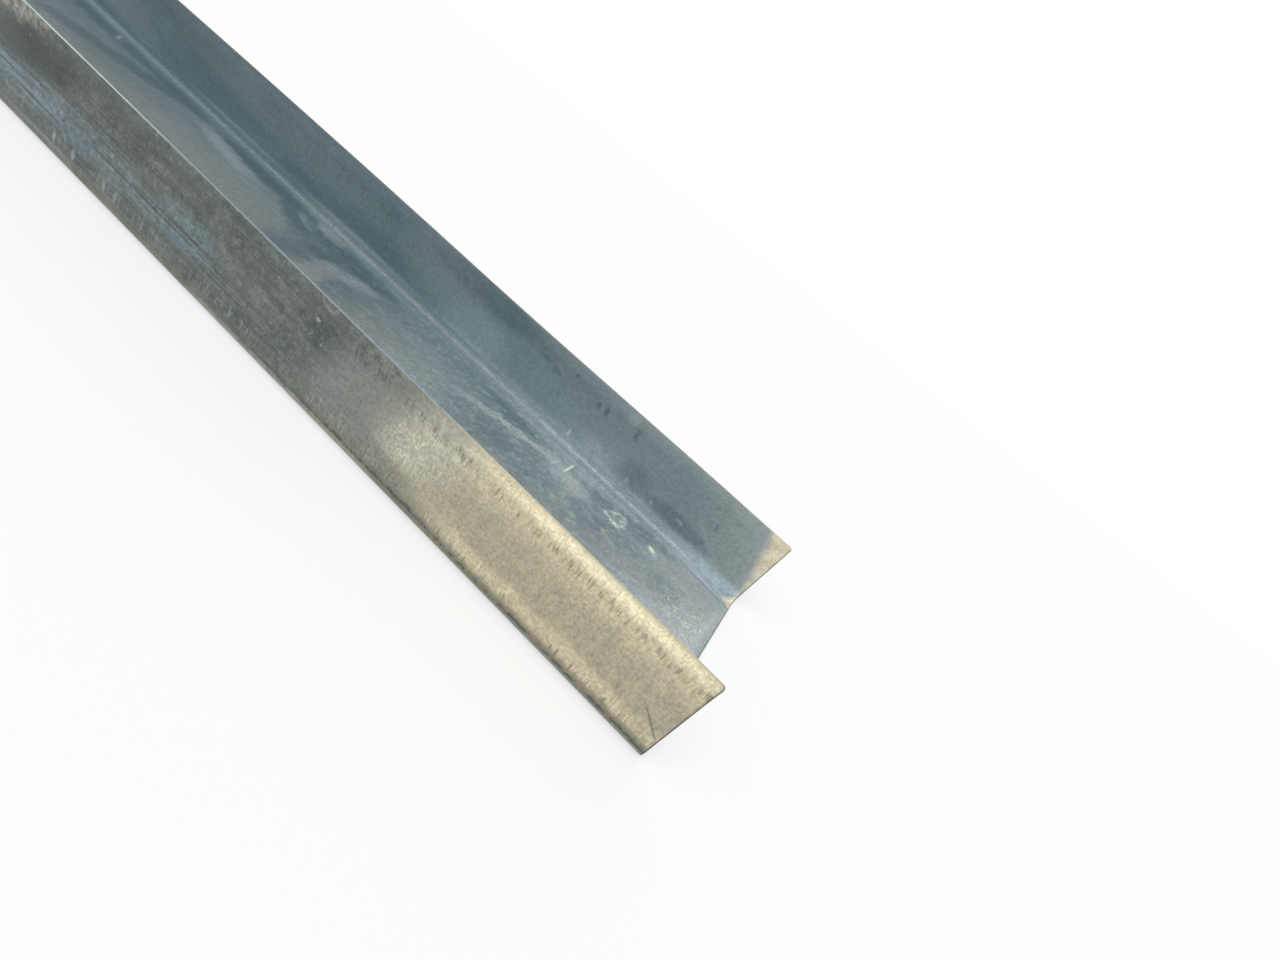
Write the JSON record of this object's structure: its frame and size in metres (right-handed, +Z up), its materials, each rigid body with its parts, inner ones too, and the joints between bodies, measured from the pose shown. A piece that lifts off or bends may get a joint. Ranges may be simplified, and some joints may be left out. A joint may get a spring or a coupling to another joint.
{
  "type": "u-channel",
  "caption": "Bent-sheet steel U-channel: a flat web with equal upright flanges whose lips turn slightly out, open at the top and at both cut ends.",
  "frame": {"origin": "middle of the web's underside", "axes": "+X along the length, +Y across the web, +Z up out of the open trough"},
  "size_m": [1.219, 0.095, 0.0318],
  "materials": {
    "zinc_coated_steel": "satin"
  },
  "bodies": {
    "root": {"channel": "zinc_coated_steel"}
  },
  "joints": []
}
